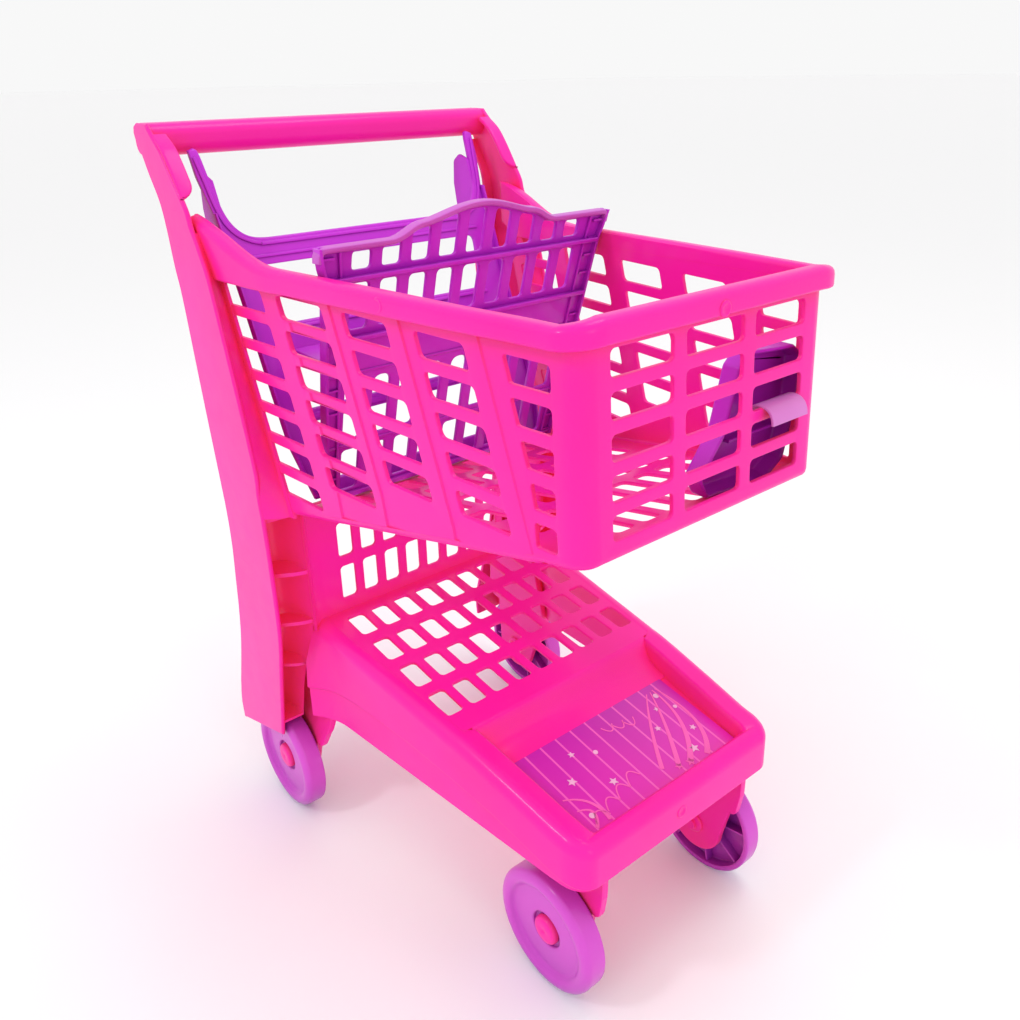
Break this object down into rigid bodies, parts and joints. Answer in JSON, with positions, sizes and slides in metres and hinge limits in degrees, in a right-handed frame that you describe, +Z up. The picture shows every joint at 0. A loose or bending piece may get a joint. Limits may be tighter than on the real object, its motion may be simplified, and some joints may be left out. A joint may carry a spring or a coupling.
{
  "type": "toy shopping cart",
  "caption": "Child's moulded plastic shopping cart: open lattice basket, sloping lower tray, folding seat in a swinging rear gate, bar handle and four fixed wheels.",
  "frame": {"origin": "centre of the bounding box in plan, on the ground under the wheels", "axes": "+X the way the cart is pushed, +Y the cart's left, +Z up"},
  "size_m": [0.4266, 0.299, 0.56],
  "materials": {
    "body": "gloss",
    "seat": "gloss",
    "wheel": "gloss",
    "hook": "gloss",
    "label": "satin printed film"
  },
  "bodies": {
    "cart": {"basket_side_wall_left": "body", "basket_side_wall_right": "body", "basket_front_wall": "body", "basket_corner_left": "body", "basket_corner_right": "body", "basket_rim_left": "body", "basket_rim_right": "body", "basket_rim_front": "body", "basket_floor": "body", "column_plate_left": "body", "column_plate_right": "body", "column_rear_web_left": "body", "column_rear_web_right": "body", "column_upper_web_left": "body", "column_upper_web_right": "body", "handle_gusset_left": "body", "handle_gusset_right": "body", "column_front_web_left": "body", "column_front_web_right": "body", "handle_bar": "body", "back_panel": "body", "back_corner_left": "body", "back_corner_right": "body", "tray_deck": "body", "tray_skirt_left": "body", "tray_skirt_right": "body", "tray_nose": "body", "tray_corner_left": "body", "tray_corner_right": "body", "pocket_floor": "body", "pocket_step": "body", "pocket_side_left": "body", "pocket_side_right": "body", "fork_front_left": "body", "fork_front_right": "body", "fork_rear_left": "body", "fork_rear_right": "body", "axle_pin_front_left": "body", "axle_pin_front_right": "body", "axle_pin_rear_left": "body", "axle_pin_rear_right": "body", "axle_clip_front_left": "body", "axle_clip_front_right": "body", "axle_clip_rear_left": "body", "axle_clip_rear_right": "body", "pocket_label": "label", "accessory_box": "seat", "accessory_hook": "hook"},
    "gate": {"rear_gate": "seat", "gate_ledge": "seat", "gate_hinge_pin_left": "seat", "gate_hinge_pin_right": "seat"},
    "flap": {"seat_flap": "seat", "flap_rib_upper": "seat", "flap_rib_lower": "seat"},
    "seat": {"seat_pan": "seat"},
    "front_left_wheel": {"wheel_front_left": "wheel"},
    "front_right_wheel": {"wheel_front_right": "wheel"},
    "rear_left_wheel": {"wheel_rear_left": "wheel"},
    "rear_right_wheel": {"wheel_rear_right": "wheel"}
  },
  "joints": [
    {"name": "front_left_spin", "type": "hinge", "parent": "cart", "child": "front_left_wheel", "pos_m": [0.16043, 0.084, 0.0462], "axis": [0, 1, 0], "continuous": true},
    {"name": "front_right_spin", "type": "hinge", "parent": "cart", "child": "front_right_wheel", "pos_m": [0.16043, -0.084, 0.0462], "axis": [0, 1, 0], "continuous": true},
    {"name": "rear_left_spin", "type": "hinge", "parent": "cart", "child": "rear_left_wheel", "pos_m": [-0.12257, 0.136, 0.0462], "axis": [0, 1, 0], "continuous": true},
    {"name": "rear_right_spin", "type": "hinge", "parent": "cart", "child": "rear_right_wheel", "pos_m": [-0.12257, -0.136, 0.0462], "axis": [0, 1, 0], "continuous": true},
    {"name": "gate_swing", "type": "hinge", "parent": "cart", "child": "gate", "pos_m": [-0.17577, 0, 0.534], "axis": [0, -1, 0], "range_deg": [0, 28]},
    {"name": "flap_fold", "type": "hinge", "parent": "gate", "child": "flap", "pos_m": [-0.06277, 0, 0.303], "axis": [0, -1, 0], "range_deg": [0, 29]},
    {"name": "seat_fold", "type": "hinge", "parent": "gate", "child": "seat", "pos_m": [-0.10827, 0, 0.404], "axis": [0, -1, 0], "range_deg": [0, 108]}
  ],
  "couplings": [
    {"joint": "seat_fold", "follows": "flap_fold", "ratio": 3.7}
  ]
}
